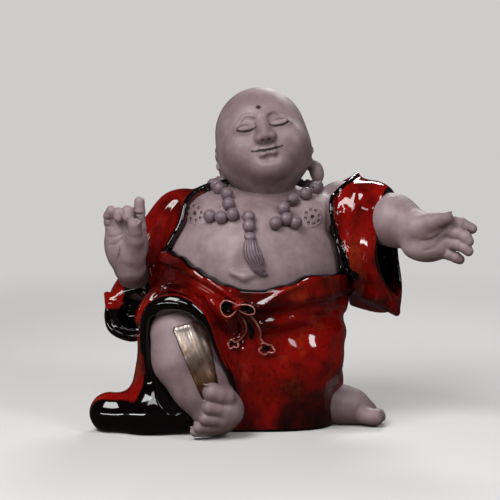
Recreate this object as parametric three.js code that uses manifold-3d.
import * as THREE from "three";
import Module from "manifold-3d";
import { mergeVertices } from "three/addons/utils/BufferGeometryUtils.js";

// A seated, big-bellied figure in fired clay, in a glazed robe, with one knee raised.
// Millimetres, +Z up. The figure faces -Y, and right and left are its own, so its right hand is at -X.
// Each piece is a field, a signed distance in millimetres, cast onto a sphere's vertices from inside,
// or round limbs carried along joints. A later piece is cut by the earlier ones, grown by the clearance.

const wasm = await Module();
wasm.setup();

// Walls and fits
const CLEARANCE = 0.3;
const TORSO_WALL = 6;
const JACKET_CLOTH = 4;
const SKIRT_CLOTH = 5;
const SLEEVE_WALL = 2.6;
const BAND_THICKNESS = 1.3;
const VENT_DIAMETER = 8;
const HEAD_SCOOP_DIAMETER = 18;
const HEAD_SCOOP_DEPTH = 34;

// How far cutters and rays reach from the figure's middle, and the height of the cutters' tops
const FAR = 130;
const CUTTER_TOP = 220;

// Torso
const BELLY_AT = [2, -3, 86];
const BELLY_WIDTH = 94;
const BELLY_DEPTH = 84;
const BELLY_HEIGHT = 80;
const CHEST_AT = [6, 12, 108];
const CHEST_WIDTH = 84;
const CHEST_DEPTH = 52;
const CHEST_HEIGHT = 48;
const BREAST_WIDTH = 34;
const BREAST_DEPTH = 38;
const BREAST_HEIGHT = 24;
const BREAST_RIGHT_AT = [-17, -2, 115];
const BREAST_LEFT_AT = [31, -2, 115];
const SHOULDER_RIGHT_AT = [-36, 12, 109];
const SHOULDER_RIGHT_DIAMETER = 28;
const SHOULDER_LEFT_AT = [50, 10, 117];
const SHOULDER_LEFT_DIAMETER = 30;
const TORSO_FLOOR = 55;
const TORSO_CAST_FROM = [4, 4, 92];
const NAVEL_AT = [-3, -47.5, 93];
const NAVEL_WIDTH = 15;
const NAVEL_DEPTH = 9;

// Head, and points on it in its own frame: right of the centre, behind it, above it
const HEAD_AT = [6.8, 5, 153];
const HEAD_WIDTH = 51;
const HEAD_DEPTH = 53;
const HEAD_HEIGHT = 58;
const HEAD_ROLL = -11;
const HEAD_PITCH = 22;
const CHIN_AT = [0, -17, -19.5];
const CHIN_SIZE = [19, 15, 13];
const NECK_AT = [8, 9, 126];
const NECK_DIAMETER = 28;
const NOSE_LENGTH = 13;
const NOSE_WIDTH = 7;
const EAR_HEIGHT = 22;
const EAR_DEPTH = 12;
const EAR_THICKNESS = 6;
const EAR_BACK = 9;
const EAR_LOW = 4;
const LOBE_HEIGHT = 14;
const LOBE_LOW = 16;
const LOBE_OUT = 3.5;
// Closed lids and lips: half rows of [right, up, radius], mirrored for the other half of the face
const LIDS = [
  [4.4, 1.4, 0.8],
  [9.4, 0.2, 1.8],
  [14.4, 1.4, 0.8],
];
const LIPS = [
  [
    [0, -12.9, 1.4],
    [7, -12.7, 0.7],
  ],
  [
    [0, -15, 1.6],
    [6, -13.8, 0.7],
  ],
];

// Arms: joints [x, y, z, radius] of each limb, from the body outwards. The last finger is the thumb.
const RIGHT_UPPER_ARM = [
  [-38, 13, 108, 10],
  [-61, 10, 76, 9],
];
const RIGHT_FOREARM = [
  [-62, 8, 76, 9],
  [-64.5, -12, 87, 8],
  [-65.5, -15, 97, 8.5],
];
const RIGHT_PALM_AT = [-66, -15.5, 102];
const RIGHT_PALM_SIZE = [23, 12, 27];
const RIGHT_FINGERS = [
  [[-58.5, -16, 109, 3.3], [-59, -16, 116, 3.1], [-58.8, -16.5, 122.8, 2.7]],
  [[-64.5, -17, 111, 3.4], [-65, -19, 118, 3.2], [-64, -24, 117.5, 3]],
  [[-70, -17, 110, 3.2], [-70.5, -18, 116.5, 3], [-69, -23, 116.5, 2.8]],
  [[-74, -15, 107, 3], [-75, -16, 114, 2.8], [-73.5, -19, 118, 2.6]],
  [[-62, -19, 95, 5.6], [-60.5, -24, 104, 4.6], [-60.6, -27, 111, 3.4]],
];
const LEFT_ARM = [
  [50, 11, 114, 12],
  [65, 4, 113.5, 14],
  [77, -8, 112.8, 14],
  [86, -17, 108.3, 11.8],
];
const LEFT_PALM_AT = [94, -24, 104.5];
const LEFT_PALM_SIZE = [27, 12, 26];
const LEFT_FINGERS = [
  [[102, -26, 113, 3.4], [110, -26, 112, 3.1], [117, -26, 109, 2.6]],
  [[103, -26, 108, 3.4], [111, -29, 106, 3.1], [115, -31, 102.5, 2.7]],
  [[103, -26, 102, 3.3], [111, -29, 100, 3], [115, -31, 97, 2.6]],
  [[101, -25, 97, 3.2], [107, -27, 94.5, 2.9], [111, -27.5, 92.5, 2.5]],
  [[88, -25, 110, 7], [97, -30, 113, 4.6], [103, -31.5, 115.5, 3]],
];

// Right leg with its foot turned on edge, and the left foot lying on the ground
const RIGHT_LEG = [
  [-38, -30, 54.5, 15],
  [-35, -32, 41, 16.2],
  [-27, -33, 28, 15],
  [-20, -34, 17, 13],
];
const RIGHT_SOLE = [
  [-17, -30, 13, 12],
  [-13.5, -41, 15, 9.5],
  [-16, -40, 11, 9],
];
const RIGHT_TOES = [
  [[-12.5, -47, 23, 5], [-19.5, -50, 26, 5.2]],
  [[-13, -48, 16.5, 4], [-21, -51, 18.5, 4]],
  [[-15, -47, 11, 3.6], [-23, -50, 12.3, 3.5]],
  [[-18, -45, 7, 3.3], [-26.5, -48, 7.4, 3.2]],
  [[-20, -43, 4.2, 3], [-28.5, -46, 4.4, 2.9]],
];
const LEFT_FOOT = [
  [40, -4, 12, 11],
  [56, -5, 9.5, 9.5],
  [63, -5, 7, 7],
];
const LEFT_TOES = [
  [[62, -12, 6.2, 4.6], [67.5, -13.5, 5.6, 4.2]],
  [[64, -7.5, 6, 3.6], [70.5, -8, 5, 3.2]],
  [[64.5, -3, 5.6, 3.3], [71, -3, 4.6, 3]],
  [[64, 1, 5, 3], [70.2, 1.6, 4.2, 2.8]],
  [[62, 4.5, 4.4, 2.8], [67.8, 5.6, 3.8, 2.6]],
];
const BAND_CORNERS = [
  [-41, 59.6],
  [-28.4, 63.8],
  [-16.4, 32],
  [-27.4, 23.8],
];
const BAND_CORNER_RADIUS = 3;
const BAND_BACK = -20;

// Robe below the waist
const HIPS_AT = [-3, 4, 47];
const HIPS_SIZE = [108, 78, 76];
const BASE_AT = [-3, 3, 14];
const BASE_SIZE = [100, 62, 60];
const LEFT_THIGH = [
  [8, -2, 46, 34],
  [26, -14, 38, 24],
];
const RIGHT_THIGH = [
  [-18, 2, 52, 30],
  [-39, -23, 59, 18.5],
];
const RIGHT_LAP = [
  [-33, -8, 79, 13],
  [-46, -14, 58, 13.5],
];
const LEFT_HIP = [
  [36, 4, 74, 19.5],
  [31, 0, 62, 21],
];
const HEM_FLIP = [
  [43, -2, 23, 7],
  [36, -9, 10, 7.5],
];
// The curtain beside the shin, its sweep outwards, and the hem's roll that it ends in
const CURTAIN = [
  [-45, -20, 60, 14],
  [-47, -19, 30, 14],
  [-47, -18, 16, 14],
];
const SWEEP = [
  [-50, -19, 31, 11.5],
  [-60, -20, 15, 10.5],
];
const HEM_ROLL = [
  [-75.1, -22, 9.8, 11.1],
  [-55, -28, 9, 10.5],
  [-34, -31, 9, 9],
];
// The rolled edge over the knee, and the deep fold between the curtain and the shin
const KNEE_ROLL = [
  [-55.5, -33, 40, 2],
  [-55, -34, 57, 2.7],
  [-52.6, -37, 65.5, 3.4],
  [-47.2, -40, 70.6, 4.2],
  [-41.4, -42, 72.2, 4.5],
  [-35.4, -43.5, 71.6, 4.2],
  [-29.6, -44.5, 69, 3.5],
  [-24, -45, 64, 2.7],
  [-20.4, -44, 57.5, 2],
  [-17.4, -41.5, 48, 1.6],
  [-13.6, -38.5, 38, 1.4],
];
const SIDE_FOLD = [
  [-49.5, -37, 62, 3.5],
  [-50.5, -38, 50, 5.5],
  [-49, -39, 38, 7.5],
  [-45, -39, 27, 9.5],
  [-40, -38, 18, 9.5],
];
const SKIRT_CAST_FROM = [-4, 0, 38];
const SKIRT_WALL = 9;
const LEDGE_THICKNESS = 7;
const THROAT_DIAMETER = 26;
const WAIST_AXIS = [4, 0];
// Height of the skirt's rim by angle round the waist: 0 is the front, 90 the figure's left
const RIM = [
  [-180, 94],
  [-85, 92.5],
  [-57, 93],
  [-38, 87.8],
  [-23, 82.5],
  [0, 79],
  [17, 81.7],
  [34, 85.5],
  [60, 84.5],
  [90, 82],
  [130, 88],
  [180, 94],
];

// Jacket: angles round JACKET_AXIS as for the rim
const JACKET_AXIS = [5, 8];
const LAPEL_RIGHT = -63;
const LAPEL_LEFT = 62;
const SIDE_SEAM = 112;
const SEAM_ANGLE = 0.2;
const NECKLINE_AT = [10, 3];
const NECKLINE_WIDTH = 68;
const NECKLINE_DEPTH = 58;
const NECKLINE_FLOOR = 96;

// Sleeves: a mouth plane is a point on it and the direction that it faces
const LEFT_SLEEVE_AT = [62, 2, 92];
const LEFT_SLEEVE_SIZE = [46, 39, 82];
const LEFT_UNDERSIDE = { at: [80, 10, 56.5], facing: [-0.3, -0.55, -0.78] };
const LEFT_MOUTH = { at: [71, -10, 96], facing: [0.91, -0.41, -0.05] };
const RIGHT_SLEEVE_ARM = [
  [-38, 14, 110, 15.5],
  [-56, 12, 92, 15],
  [-60, 9, 74, 12],
];
const RIGHT_SLEEVE_AT = [-65, 4, 62];
const RIGHT_SLEEVE_SIZE = [26, 33, 30];
// The cuff's outer corner, turned up
const CUFF_CORNER = [
  [-73, -4, 64, 4.6],
  [-77, -6, 70, 2.2],
];
const RIGHT_MOUTH = { at: [-68, -8, 70], facing: [0.15, -0.985, 0.05] };
const RIGHT_SLEEVE_CAST_FROM = [-60, 9, 84];

// Necklace: the beads down each side of the chest, the line that those behind the neck follow, then the
// short bars and the middle beads
const BEAD_DIAMETER = 7;
const BEAD_SINK = 0.9;
const RIGHT_STRAND = [
  [-11.1, -24.2, 122.2],
  [-12.2, -16.1, 126.9],
];
const NECK_LINE = [
  [-16.6, -8.9, 129.3],
  [-18, 8, 130],
  [-8, 22, 128],
  [9, 28, 127],
  [26, 22, 129],
  [36, 9, 131],
  [35.3, -5.2, 129.1],
];
const LEFT_STRAND = [
  [30, -14.8, 126.8],
  [22.8, -18.3, 124.1],
  [17.9, -26.2, 119.7],
];
const SHORT_BEADS = [
  [-8.9, -31.8, 117.1],
  [-15, -31.2, 115.6],
  [-21, -27.4, 115.9],
  [19.1, -32.1, 114.7],
  [13.5, -36, 112.9],
  [24.1, -31.4, 112.8],
  [-0.5, -34.6, 115.9],
  [-0.3, -38.5, 111.6],
];
const TASSEL = [
  [-0.2, -44, 106, 2.4],
  [0.2, -46, 102, 3.7],
  [2.4, -48, 96.5, 4],
  [5, -49, 91.5, 2.8],
  [8.2, -49, 87.6, 1.2],
];
const TASSEL_CAP_DIAMETER = 6;

// Belt bow, on the skirt's front: x and z, seated on the cloth by a ray from the front
const KNOT_AT = [-6.7, 71];
const KNOT_DIAMETER = 4.6;
const RIBBON_WALL = 1.1;
const RIBBON_WIDTH = 3.4;
const RIBBON_SINK = 4;
const BOW_LOOPS = {
  bow_loop_right: { at: [-12.2, 70.3], width: 7.4, height: 9.4, tilt: 18 },
  bow_loop_left: { at: [-0.6, 69], width: 9, height: 5.8, tilt: -22 },
};
const BOW_TAILS = {
  bow_tail_right: [[-6.2, 67.5], [-3.2, 61], [-3.4, 55.5], [-8.2, 52.3]],
  bow_tail_left: [[1, 65], [4.4, 60], [4.6, 54], [6.6, 50.4]],
};
const TAIL_KNOTS = {
  tail_knot_right: [-9.6, 50.2],
  tail_knot_left: [9.2, 48.2],
};
const TAIL_KNOT_DIAMETER = 4;

// Numbers of facets
const TORSO_FACETS = [24, 16];
const HOLLOW_FACETS = [16, 10];
const HEAD_FACETS = [18, 13];
const SKIRT_FACETS = [34, 19];
const SLEEVE_FACETS = [16, 11];
const EAR_FACETS = [8, 8];
const BEAD_FACETS = [7, 5];
const KNOT_FACETS = [8, 5];
const LIMB_SIDES = 10;
const FINGER_SIDES = 6;

// Fields

function ellipsoid(at, size, turn = [0, 0, 0]) {
  const toLocal = new THREE.Matrix4().makeRotationFromEuler(new THREE.Euler(...turn)).invert();
  const radii = size.map((s) => s / 2);
  return (p) => {
    const q = p.clone().sub(new THREE.Vector3(...at)).applyMatrix4(toLocal);
    const near = Math.hypot(q.x / radii[0], q.y / radii[1], q.z / radii[2]);
    const slope = Math.hypot(q.x / radii[0] ** 2, q.y / radii[1] ** 2, q.z / radii[2] ** 2);
    return slope > 1e-9 ? (near * (near - 1)) / slope : -Math.min(...radii);
  };
}

function ball(at, diameter) {
  return ellipsoid(at, [diameter, diameter, diameter]);
}

// A box-like ellipsoid: the higher the power, the squarer
function pillow(at, size, power) {
  const radii = size.map((s) => s / 2);
  return (p) => {
    const parts = [p.x - at[0], p.y - at[1], p.z - at[2]].map((d, i) => Math.abs(d) / radii[i]);
    const near = parts.reduce((sum, d) => sum + d ** power, 0) ** (1 / power);
    const reach = Math.hypot(p.x - at[0], p.y - at[1], p.z - at[2]);
    return near > 1e-9 ? reach * (1 - 1 / near) : -Math.min(...radii);
  };
}

function limbField(joints, blendBy = 3) {
  const stretches = joints.slice(1).map((end, i) => {
    const start = new THREE.Vector3(...joints[i]);
    const run = new THREE.Vector3(...end).sub(start);
    return (p) => {
      const along = THREE.MathUtils.clamp(p.clone().sub(start).dot(run) / run.lengthSq(), 0, 1);
      const radius = THREE.MathUtils.lerp(joints[i][3], end[3], along);
      return p.distanceTo(start.clone().addScaledVector(run, along)) - radius;
    };
  });
  return blend(blendBy, ...stretches);
}

function blend(soft, ...fields) {
  return (p) =>
    fields.map((f) => f(p)).reduce((a, b) => {
      const h = Math.max(soft - Math.abs(a - b), 0) / soft;
      return Math.min(a, b) - (h * h * soft) / 4;
    });
}

function dented(field, dent, soft) {
  return (p) => {
    const a = field(p);
    const b = -dent(p);
    const h = Math.max(soft - Math.abs(a - b), 0) / soft;
    return Math.max(a, b) + (h * h * soft) / 4;
  };
}

function gradient(field, p) {
  const step = 0.2;
  const along = (x, y, z) =>
    field(p.clone().add(new THREE.Vector3(x, y, z))) - field(p.clone().sub(new THREE.Vector3(x, y, z)));
  return new THREE.Vector3(along(step, 0, 0), along(0, step, 0), along(0, 0, step)).normalize();
}

// The point on a field's surface nearest to a chosen one, lifted along the surface's normal
function seat(field, point, lift) {
  const p = new THREE.Vector3(...point);
  for (let i = 0; i < 12; i++) p.addScaledVector(gradient(field, p), -field(p));
  return p.addScaledVector(gradient(field, p), lift);
}

// Where a ray from the front, at x and z, first meets a field
function frontOf(field, [x, z]) {
  const p = new THREE.Vector3(x, -FAR, z);
  for (let i = 0; i < 200 && field(p) > 0.01; i++) p.y += Math.max(field(p) * 0.6, 0.01);
  return p;
}

// Solids

function solidOf(geometry) {
  const bare = geometry.clone();
  bare.deleteAttribute("normal");
  bare.deleteAttribute("uv");
  const merged = mergeVertices(bare, 1e-4);
  const made = new wasm.Manifold(
    new wasm.Mesh({
      numProp: 3,
      vertProperties: merged.attributes.position.array,
      triVerts: new Uint32Array(merged.index.array),
    }),
  );
  if (made.volume() > 0) return made;
  const turned = new Uint32Array(merged.index.array);
  for (let i = 0; i < turned.length; i += 3) [turned[i], turned[i + 1]] = [turned[i + 1], turned[i]];
  return new wasm.Manifold(
    new wasm.Mesh({ numProp: 3, vertProperties: merged.attributes.position.array, triVerts: turned }),
  );
}

function geometryOf(solid) {
  const mesh = solid.getMesh();
  const geometry = new THREE.BufferGeometry();
  geometry.setAttribute("position", new THREE.BufferAttribute(new Float32Array(mesh.vertProperties), 3));
  geometry.setIndex(new THREE.BufferAttribute(new Uint32Array(mesh.triVerts), 1));
  geometry.computeVertexNormals();
  return geometry;
}

// A field's surface at a level, found along rays from a point inside it
function cast(field, from, [columns, rows], level = 0) {
  const geometry = new THREE.SphereGeometry(1, columns, rows).rotateX(Math.PI / 2);
  const centre = new THREE.Vector3(...from);
  const places = geometry.attributes.position;
  const ray = new THREE.Vector3();
  const point = new THREE.Vector3();
  const stride = 1.5;
  for (let i = 0; i < places.count; i++) {
    ray.fromBufferAttribute(places, i).normalize();
    const at = (r) => field(point.copy(centre).addScaledVector(ray, r)) - level;
    let inside = FAR;
    while (inside > stride && at(inside) > 0) inside -= stride;
    let outside = inside + stride;
    for (let k = 0; k < 24; k++) {
      const middle = (inside + outside) / 2;
      if (at(middle) > 0) outside = middle;
      else inside = middle;
    }
    point.copy(centre).addScaledVector(ray, inside);
    places.setXYZ(i, point.x, point.y, point.z);
  }
  return solidOf(geometry);
}

// A round limb carried along its joints, each with its own radius, with a dome at both ends
function limb(joints, grow = 0, sides = LIMB_SIDES) {
  const last = joints.length - 1;
  const centres = joints.map((joint) => new THREE.Vector3(...joint));
  const runs = centres.slice(1).map((c, i) => c.clone().sub(centres[i]).normalize());
  const ways = centres.map((_, i) =>
    runs[Math.max(i - 1, 0)].clone().add(runs[Math.min(i, last - 1)]).normalize(),
  );
  const domeRings = sides > 8 ? 3 : 2;
  const rings = [];
  const dome = (i, along, out) => {
    const radius = joints[i][3] + grow;
    rings.push([centres[i].clone().addScaledVector(ways[i], radius * along), ways[i], radius * out]);
  };
  for (let k = 1; k < domeRings; k++) {
    const angle = (Math.PI / 2) * (k / domeRings);
    dome(0, -Math.cos(angle), Math.sin(angle));
  }
  joints.forEach((_, i) => dome(i, 0, 1));
  for (let k = domeRings - 1; k > 0; k--) {
    const angle = (Math.PI / 2) * (k / domeRings);
    dome(last, Math.cos(angle), Math.sin(angle));
  }
  let across = Math.abs(ways[0].z) < 0.9 ? new THREE.Vector3(0, 0, 1) : new THREE.Vector3(0, 1, 0);
  const places = [];
  for (const [centre, way, radius] of rings) {
    across = across.clone().addScaledVector(way, -across.dot(way)).normalize();
    const beside = new THREE.Vector3().crossVectors(way, across);
    for (let i = 0; i < sides; i++) {
      const angle = (2 * Math.PI * i) / sides;
      const point = centre.clone().addScaledVector(across, radius * Math.cos(angle));
      places.push(...point.addScaledVector(beside, radius * Math.sin(angle)).toArray());
    }
  }
  const tip = places.length / 3;
  places.push(...centres[0].clone().addScaledVector(ways[0], -joints[0][3] - grow).toArray());
  places.push(...centres[last].clone().addScaledVector(ways[last], joints[last][3] + grow).toArray());
  const faces = [];
  const end = (rings.length - 1) * sides;
  for (let i = 0; i < sides; i++) {
    const j = (i + 1) % sides;
    faces.push(tip, j, i, tip + 1, end + i, end + j);
    for (let ring = 0; ring < end; ring += sides) {
      faces.push(ring + i, ring + j, ring + sides + j, ring + i, ring + sides + j, ring + sides + i);
    }
  }
  const geometry = new THREE.BufferGeometry();
  geometry.setAttribute("position", new THREE.Float32BufferAttribute(places, 3));
  geometry.setIndex(faces);
  return solidOf(geometry);
}

function egg(at, size, grow = 0, facets = [14, 10], turn = [0, 0, 0]) {
  const geometry = new THREE.SphereGeometry(0.5, ...facets);
  geometry.rotateX(Math.PI / 2).scale(...size.map((s) => s + 2 * grow));
  geometry.applyMatrix4(new THREE.Matrix4().makeRotationFromEuler(new THREE.Euler(...turn)));
  geometry.translate(...at);
  return solidOf(geometry);
}

function joined(solids) {
  return solids.reduce((a, b) => a.add(b));
}

// The part of a solid on the near side of a plane
function trimmed(solid, at, facing) {
  const normal = new THREE.Vector3(...facing).normalize();
  const away = normal.clone().negate();
  return solid.trimByPlane(away.toArray(), away.dot(new THREE.Vector3(...at)));
}

// A cut can leave a chip: only the piece itself is kept
function mainBody(solid) {
  return solid.decompose().reduce((a, b) => (b.volume() > a.volume() ? b : a));
}

// Torso

const torsoField = dented(
  blend(
    7,
    ellipsoid(BELLY_AT, [BELLY_WIDTH, BELLY_DEPTH, BELLY_HEIGHT]),
    ellipsoid(CHEST_AT, [CHEST_WIDTH, CHEST_DEPTH, CHEST_HEIGHT]),
    ellipsoid(BREAST_RIGHT_AT, [BREAST_WIDTH, BREAST_DEPTH, BREAST_HEIGHT]),
    ellipsoid(BREAST_LEFT_AT, [BREAST_WIDTH, BREAST_DEPTH, BREAST_HEIGHT]),
    ball(SHOULDER_RIGHT_AT, SHOULDER_RIGHT_DIAMETER),
    ball(SHOULDER_LEFT_AT, SHOULDER_LEFT_DIAMETER),
  ),
  ellipsoid(NAVEL_AT, [NAVEL_WIDTH, NAVEL_DEPTH, NAVEL_WIDTH]),
  3,
);

function torsoAt(level) {
  return cast(torsoField, TORSO_CAST_FROM, TORSO_FACETS, level);
}

function torsoOuter(grow) {
  return trimmed(torsoAt(grow), [0, 0, TORSO_FLOOR - grow], [0, 0, -1]);
}

function torso() {
  const hollow = cast(torsoField, TORSO_CAST_FROM, HOLLOW_FACETS, -TORSO_WALL);
  const vent = limb([CHEST_AT[2], HEAD_AT[2]].map((z) => [NECK_AT[0], NECK_AT[1], z, VENT_DIAMETER / 2]));
  return torsoOuter(0).subtract(hollow).subtract(vent);
}

// Head and ears

const headTurn = [THREE.MathUtils.degToRad(-HEAD_PITCH), THREE.MathUtils.degToRad(HEAD_ROLL), 0];
const headFrame = new THREE.Matrix4()
  .makeRotationFromEuler(new THREE.Euler(...headTurn))
  .setPosition(...HEAD_AT);

function onHead(x, y, z) {
  return new THREE.Vector3(x, y, z).applyMatrix4(headFrame).toArray();
}

// Skull, broad jaw, chin and neck
const headField = blend(
  7,
  ellipsoid(onHead(0, 2, HEAD_HEIGHT * 0.09), [HEAD_WIDTH, HEAD_DEPTH, HEAD_HEIGHT * 0.9], headTurn),
  ellipsoid(
    onHead(0, -1, -HEAD_HEIGHT * 0.155),
    [HEAD_WIDTH, HEAD_DEPTH * 0.85, HEAD_HEIGHT * 0.64],
    headTurn,
  ),
  ellipsoid(onHead(...CHIN_AT), CHIN_SIZE, headTurn),
  limbField([
    [...NECK_AT, NECK_DIAMETER / 2],
    [...onHead(0, 4, -HEAD_HEIGHT * 0.24), NECK_DIAMETER / 2 + 1],
  ]),
);

function headOuter(grow) {
  return cast(headField, HEAD_AT, HEAD_FACETS, grow);
}

// A low ridge that follows the face, through points given right of its middle and above it
function faceRidge(points) {
  const joints = points.map(([x, z, radius]) => [
    ...seat(headField, onHead(x, -HEAD_DEPTH / 2, z), -radius * 0.3).toArray(),
    radius,
  ]);
  return limb(joints, 0, FINGER_SIDES);
}

function head() {
  const mirrored = (points) => points.map(([x, z, radius]) => [-x, z, radius]);
  const ridges = [
    faceRidge(LIDS),
    faceRidge(mirrored(LIDS)),
    ...LIPS.map((lip) => faceRidge([...mirrored(lip).reverse(), ...lip.slice(1)])),
  ];
  const nose = limb(
    [
      [...onHead(0, -HEAD_DEPTH * 0.47, NOSE_LENGTH * 0.55), NOSE_WIDTH * 0.3],
      [...onHead(0, -HEAD_DEPTH * 0.5, -NOSE_LENGTH * 0.45), NOSE_WIDTH * 0.5],
    ],
    0,
    FINGER_SIDES,
  );
  const scoop = egg(NECK_AT, [HEAD_SCOOP_DIAMETER, HEAD_SCOOP_DIAMETER, 2 * HEAD_SCOOP_DEPTH]);
  return joined([headOuter(0), nose, ...ridges]).subtract(scoop);
}

function ear(side) {
  return (grow) => {
    const x = side * (HEAD_WIDTH / 2 - 1.5);
    const middle = onHead(x, EAR_BACK, -(EAR_LOW + LOBE_LOW) / 2);
    const field = blend(
      3,
      ellipsoid(onHead(x, EAR_BACK, -EAR_LOW), [EAR_THICKNESS, EAR_DEPTH, EAR_HEIGHT], headTurn),
      ellipsoid(
        onHead(x + side * LOBE_OUT, EAR_BACK, -LOBE_LOW),
        [EAR_THICKNESS + 1, EAR_DEPTH * 0.7, LOBE_HEIGHT],
        headTurn,
      ),
    );
    return cast(field, middle, EAR_FACETS, grow);
  };
}

// Arms, leg and foot

function hand(arms, palmAt, palmSize, fingers) {
  return (grow) =>
    joined([
      ...arms.map((joints) => limb(joints, grow)),
      egg(palmAt, palmSize, grow, [10, 8]),
      ...fingers.map((joints) => limb(joints, grow, FINGER_SIDES)),
    ]);
}

function foot(shafts, toes) {
  return (grow) =>
    trimmed(
      joined([
        ...shafts.map((joints) => limb(joints, grow)),
        ...toes.map((joints) => limb(joints, grow, FINGER_SIDES)),
      ]),
      [0, 0, grow ? -1 : CLEARANCE],
      [0, 0, -1],
    );
}

const rightArm = hand([RIGHT_UPPER_ARM, RIGHT_FOREARM], RIGHT_PALM_AT, RIGHT_PALM_SIZE, RIGHT_FINGERS);
const leftArm = hand([LEFT_ARM], LEFT_PALM_AT, LEFT_PALM_SIZE, LEFT_FINGERS);
const rightLeg = foot([RIGHT_LEG, RIGHT_SOLE], RIGHT_TOES);
const leftFoot = foot([LEFT_FOOT], LEFT_TOES);

// The gilt pad is a slice of the thickened shin, cut out by its outline seen from the front
function shinBand() {
  const corners = BAND_CORNERS.map((c) => new THREE.Vector2(...c));
  const outline = new THREE.Shape();
  corners.forEach((corner, i) => {
    const before = corners[(i + 3) % 4].clone().sub(corner).setLength(BAND_CORNER_RADIUS).add(corner);
    const after = corners[(i + 1) % 4].clone().sub(corner).setLength(BAND_CORNER_RADIUS).add(corner);
    if (i) outline.lineTo(before.x, before.y);
    else outline.moveTo(before.x, before.y);
    outline.quadraticCurveTo(corner.x, corner.y, after.x, after.y);
  });
  const prism = new THREE.ExtrudeGeometry(outline, { depth: FAR, bevelEnabled: false, curveSegments: 3 });
  prism.rotateX(Math.PI / 2).translate(0, BAND_BACK, 0);
  return limb(RIGHT_LEG, CLEARANCE + BAND_THICKNESS).intersect(solidOf(prism));
}

// Robe below the waist

const skirtField = blend(
  8,
  pillow(HIPS_AT, HIPS_SIZE, 2.3),
  pillow(BASE_AT, BASE_SIZE, 3),
  limbField(LEFT_THIGH),
  limbField(RIGHT_THIGH),
  limbField(RIGHT_LAP),
  limbField(LEFT_HIP),
  limbField(HEM_FLIP),
  limbField(CURTAIN),
);

function rimHeight(degrees) {
  const next = RIM.findIndex(([angle]) => angle >= degrees);
  if (next <= 0) return RIM[0][1];
  const [[a, low], [b, high]] = [RIM[next - 1], RIM[next]];
  const share = (degrees - a) / (b - a);
  return THREE.MathUtils.lerp(low, high, share * share * (3 - 2 * share));
}

// Everything above the rim: a ruled disc with the rim's heights, and a flat lid far above it
function aboveRim(raise) {
  const segments = 60;
  const rim = (angle) => rimHeight(angle) + raise;
  const rings = [
    [20, rim],
    [40, rim],
    [56, rim],
    [FAR, rim],
    [FAR, () => CUTTER_TOP],
  ];
  const places = [];
  const faces = [];
  for (const [radius, height] of rings) {
    for (let i = 0; i < segments; i++) {
      const degrees = (360 * i) / segments - 180;
      const angle = THREE.MathUtils.degToRad(degrees);
      places.push(
        WAIST_AXIS[0] + radius * Math.sin(angle),
        WAIST_AXIS[1] - radius * Math.cos(angle),
        height(degrees),
      );
    }
  }
  const floor = places.length / 3;
  places.push(...WAIST_AXIS, RIM[0][1] + raise, ...WAIST_AXIS, CUTTER_TOP);
  for (let i = 0; i < segments; i++) {
    const j = (i + 1) % segments;
    faces.push(floor, j, i);
    for (let ring = 0; ring + 1 < rings.length; ring++) {
      const [a, b] = [ring * segments + i, ring * segments + j];
      faces.push(a, b, b + segments, a, b + segments, a + segments);
    }
    const last = (rings.length - 1) * segments;
    faces.push(floor + 1, last + i, last + j);
  }
  const geometry = new THREE.BufferGeometry();
  geometry.setAttribute("position", new THREE.Float32BufferAttribute(places, 3));
  geometry.setIndex(faces);
  return solidOf(geometry);
}

function skirtOuter(grow) {
  const hips = cast(skirtField, SKIRT_CAST_FROM, SKIRT_FACETS, grow);
  const band = torsoAt(SKIRT_CLOTH + grow);
  const rolls = [SWEEP, HEM_ROLL, KNEE_ROLL].map((joints) => limb(joints, grow));
  return joined([hips, band, ...rolls]).subtract(limb(SIDE_FOLD, -grow)).subtract(aboveRim(grow));
}

// Hollow below a ledge that carries the torso, with a throat through the ledge
function skirt() {
  const ledge = TORSO_FLOOR - CLEARANCE - LEDGE_THICKNESS;
  const inside = cast(skirtField, SKIRT_CAST_FROM, HOLLOW_FACETS, -SKIRT_WALL);
  const hollow = trimmed(inside, [0, 0, ledge], [0, 0, 1]);
  const [x, y] = BELLY_AT;
  const radius = THROAT_DIAMETER / 2;
  const throat = limb([[x, y, ledge - radius, radius], [x, y, TORSO_FLOOR + radius, radius]]);
  return trimmed(skirtOuter(0), [0, 0, 0], [0, 0, -1]).subtract(hollow).subtract(throat);
}

// Jacket: slabs round the torso, between two angles

function wedge(fromDegrees, toDegrees) {
  const outline = new THREE.Shape();
  const [x, y] = JACKET_AXIS;
  outline.moveTo(x, y);
  const steps = 6;
  for (let i = 0; i <= steps; i++) {
    const angle = THREE.MathUtils.degToRad(THREE.MathUtils.lerp(fromDegrees, toDegrees, i / steps));
    outline.lineTo(x + FAR * Math.sin(angle), y - FAR * Math.cos(angle));
  }
  return solidOf(new THREE.ExtrudeGeometry(outline, { depth: CUTTER_TOP, bevelEnabled: false }));
}

function neckline() {
  const steps = 28;
  const profile = [
    new THREE.Vector2(0, NECKLINE_FLOOR),
    new THREE.Vector2(0.5, NECKLINE_FLOOR),
    new THREE.Vector2(0.5, CUTTER_TOP),
    new THREE.Vector2(0, CUTTER_TOP),
  ];
  const geometry = new THREE.LatheGeometry(profile, steps).rotateX(Math.PI / 2);
  geometry.scale(NECKLINE_WIDTH, NECKLINE_DEPTH, 1).translate(...NECKLINE_AT, 0);
  return solidOf(geometry);
}

// Between two slabs each side gives some of the clearance at the seam, in degrees
function jacketSlab(fromDegrees, toDegrees) {
  return (grow) => {
    const shell = torsoAt(JACKET_CLOTH + grow).subtract(neckline());
    const spread = grow ? SEAM_ANGLE : -SEAM_ANGLE;
    return shell.intersect(wedge(fromDegrees - spread, toDegrees + spread));
  };
}

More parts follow.
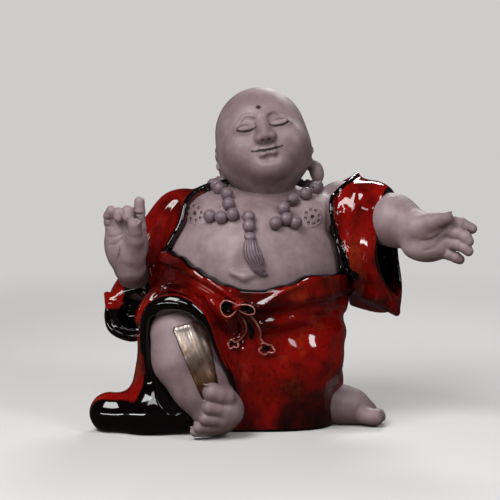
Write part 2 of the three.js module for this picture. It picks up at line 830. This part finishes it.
const jacketRight = jacketSlab(-SIDE_SEAM, LAPEL_RIGHT);
const jacketLeft = jacketSlab(LAPEL_LEFT, SIDE_SEAM);
const jacketBack = jacketSlab(SIDE_SEAM, 360 - SIDE_SEAM);

// Sleeves: walls of one thickness round a hollow that opens at the mouth and against the jacket

// What is past a plane
function pastPlane({ at, facing }) {
  const normal = new THREE.Vector3(...facing).normalize();
  return (p) => normal.dot(new THREE.Vector3(...at)) - p.dot(normal);
}

const leftSleeveField = dented(pillow(LEFT_SLEEVE_AT, LEFT_SLEEVE_SIZE, 2.8), pastPlane(LEFT_UNDERSIDE), 7);
const rightSleeveField = blend(
  8,
  limbField(RIGHT_SLEEVE_ARM),
  pillow(RIGHT_SLEEVE_AT, RIGHT_SLEEVE_SIZE, 2.5),
);

function sleeve(field, from, mouth, extras = []) {
  return (grow) => {
    const added = extras.map((joints) => limb(joints, grow));
    const outer = joined([cast(field, from, SLEEVE_FACETS, grow), ...added]);
    const wall = outer.subtract(cast(field, from, SLEEVE_FACETS, -SLEEVE_WALL - grow));
    const facing = new THREE.Vector3(...mouth.facing).normalize();
    const at = new THREE.Vector3(...mouth.at).addScaledVector(facing, grow).toArray();
    return trimmed(wall, at, mouth.facing);
  };
}

const rightSleeve = sleeve(rightSleeveField, RIGHT_SLEEVE_CAST_FROM, RIGHT_MOUTH, [CUFF_CORNER]);
const leftSleeve = sleeve(leftSleeveField, LEFT_SLEEVE_AT, LEFT_MOUTH);

// Necklace and tassel

function necklacePlaces() {
  const line = new THREE.CatmullRomCurve3(NECK_LINE.map((p) => seat(torsoField, p, BEAD_DIAMETER / 2)));
  const count = Math.floor(line.getLength() / (BEAD_DIAMETER + CLEARANCE)) + 1;
  const behind = [];
  for (let i = 0; i < count; i++) behind.push(line.getPointAt(i / (count - 1)).toArray());
  return [...RIGHT_STRAND, ...behind, ...LEFT_STRAND, ...SHORT_BEADS];
}

// A bead rests on the torso and stays clear of the head: where it would meet it, it slides out
function bead(place) {
  const lift = BEAD_DIAMETER / 2 - BEAD_SINK;
  const centre = seat(torsoField, place, lift);
  for (let i = 0; i < 12; i++) {
    const short = BEAD_DIAMETER / 2 + CLEARANCE - headField(centre);
    if (short <= 0) break;
    centre.addScaledVector(gradient(headField, centre), short);
    centre.copy(seat(torsoField, centre.toArray(), lift));
  }
  const size = [BEAD_DIAMETER, BEAD_DIAMETER, BEAD_DIAMETER];
  return (grow) => egg(centre.toArray(), size, grow, BEAD_FACETS);
}

function tasselCap(grow) {
  const [x, y, z] = seat(torsoField, TASSEL[0].slice(0, 3), TASSEL_CAP_DIAMETER * 0.3).toArray();
  const size = [TASSEL_CAP_DIAMETER, TASSEL_CAP_DIAMETER, TASSEL_CAP_DIAMETER * 0.7];
  return egg([x, y, z], size, grow, KNOT_FACETS);
}

function tassel(grow) {
  const joints = TASSEL.map(([x, y, z, radius]) => [
    ...seat(torsoField, [x, y, z], radius * 0.6).toArray(),
    radius,
  ]);
  return limb(joints, grow, FINGER_SIDES);
}

// Belt bow

const clothField = blend(2, skirtField, (p) => torsoField(p) - SKIRT_CLOTH);

function knot(at, diameter) {
  const place = frontOf(clothField, at);
  const centre = [place.x, place.y - diameter * 0.3, place.z];
  return (grow) => egg(centre, [diameter, diameter, diameter * 1.1], grow, KNOT_FACETS);
}

// An oval hoop that stands on the cloth, its width along the view from the front
function bowLoop({ at, width, height, tilt }) {
  return (grow) => {
    const place = frontOf(clothField, at);
    const oval = (shape, shrink, clockwise) =>
      shape.absellipse(0, 0, width / 2 - shrink, height / 2 - shrink, 0, 2 * Math.PI, clockwise, 0);
    const ring = oval(new THREE.Shape(), -grow, false);
    ring.holes.push(oval(new THREE.Path(), RIBBON_WALL + grow, true));
    const hoop = new THREE.ExtrudeGeometry(ring, {
      depth: RIBBON_WIDTH + RIBBON_SINK,
      bevelEnabled: false,
      curveSegments: 8,
    });
    hoop.rotateZ(THREE.MathUtils.degToRad(tilt)).rotateX(Math.PI / 2);
    hoop.translate(place.x, place.y + RIBBON_SINK, place.z);
    return solidOf(hoop);
  };
}

// A flat strip that follows the cloth, with an even section of width by wall
function bowTail(points) {
  return (grow) => {
    const line = new THREE.CatmullRomCurve3(
      points.map((at) => {
        const p = frontOf(clothField, at);
        return new THREE.Vector3(p.x, p.y - RIBBON_WALL * 0.4, p.z);
      }),
    );
    const section = new THREE.Shape();
    const [half, wall] = [RIBBON_WIDTH / 2 + grow, RIBBON_WALL + grow];
    section.moveTo(-wall, -half).lineTo(wall, -half).lineTo(wall, half).lineTo(-wall, half);
    const strip = new THREE.ExtrudeGeometry(section, { steps: 12, bevelEnabled: false, extrudePath: line });
    return solidOf(strip);
  };
}

// Materials

function clay(colour, roughness, metalness = 0) {
  return new THREE.MeshStandardMaterial({ color: colour, roughness, metalness });
}

const skin = clay(0x8c7a80, 0.75);
const redGlaze = clay(0x6d1a14, 0.15);
const gilt = clay(0xa9895a, 0.35, 0.9);
const darkClay = clay(0x6b5660, 0.6);

// Assembly: a piece is cut by every earlier one that its box meets

const pieces = [
  ["torso", torso, torsoOuter, skin],
  ["right_leg", rightLeg, rightLeg, skin],
  ["left_foot", leftFoot, leftFoot, skin],
  ["skirt", skirt, skirtOuter, redGlaze],
  ["jacket_back", jacketBack, jacketBack, redGlaze],
  ["jacket_front_right", jacketRight, jacketRight, redGlaze],
  ["jacket_front_left", jacketLeft, jacketLeft, redGlaze],
  ["head", head, headOuter, skin],
  ["sleeve_right", rightSleeve, rightSleeve, redGlaze],
  ["sleeve_left", leftSleeve, leftSleeve, redGlaze],
  ["ear_right", ear(-1), ear(-1), skin],
  ["ear_left", ear(1), ear(1), skin],
  ["right_arm", rightArm, rightArm, skin],
  ["left_arm", leftArm, leftArm, skin],
  ["gilt_shin_band", shinBand, shinBand, gilt],
  ["bow_knot", knot(KNOT_AT, KNOT_DIAMETER), knot(KNOT_AT, KNOT_DIAMETER), redGlaze],
];
for (const [name, loop] of Object.entries(BOW_LOOPS)) {
  pieces.push([name, bowLoop(loop), bowLoop(loop), redGlaze]);
}
for (const [name, at] of Object.entries(TAIL_KNOTS)) {
  pieces.push([name, knot(at, TAIL_KNOT_DIAMETER), knot(at, TAIL_KNOT_DIAMETER), redGlaze]);
}
for (const [name, points] of Object.entries(BOW_TAILS)) {
  pieces.push([name, bowTail(points), bowTail(points), redGlaze]);
}
necklacePlaces().forEach((place, i) => {
  pieces.push([`bead_${String(i + 1).padStart(2, "0")}`, bead(place), bead(place), darkClay]);
});
pieces.push(["tassel_cap", tasselCap, tasselCap, darkClay]);
pieces.push(["tassel", tassel, tassel, darkClay]);

function boxesMeet(a, b) {
  return [0, 1, 2].every((i) => a.min[i] <= b.max[i] && b.min[i] <= a.max[i]);
}

const figure = new THREE.Group();
const cutters = [];
for (const [name, shape, outer, material] of pieces) {
  let solid = shape(0);
  for (const cutter of cutters) {
    if (boxesMeet(solid.boundingBox(), cutter.boundingBox())) solid = solid.subtract(cutter);
  }
  cutters.push(outer(CLEARANCE));
  const mesh = new THREE.Mesh(geometryOf(mainBody(solid)), material);
  mesh.name = name;
  figure.add(mesh);
}

// The origin is the middle of the ground under the figure's box
const box = new THREE.Box3().setFromObject(figure);
const middle = box.getCenter(new THREE.Vector3());
figure.position.set(-middle.x, -middle.y, -box.min.z);

const statue = new THREE.Group();
statue.add(figure);

export default statue;
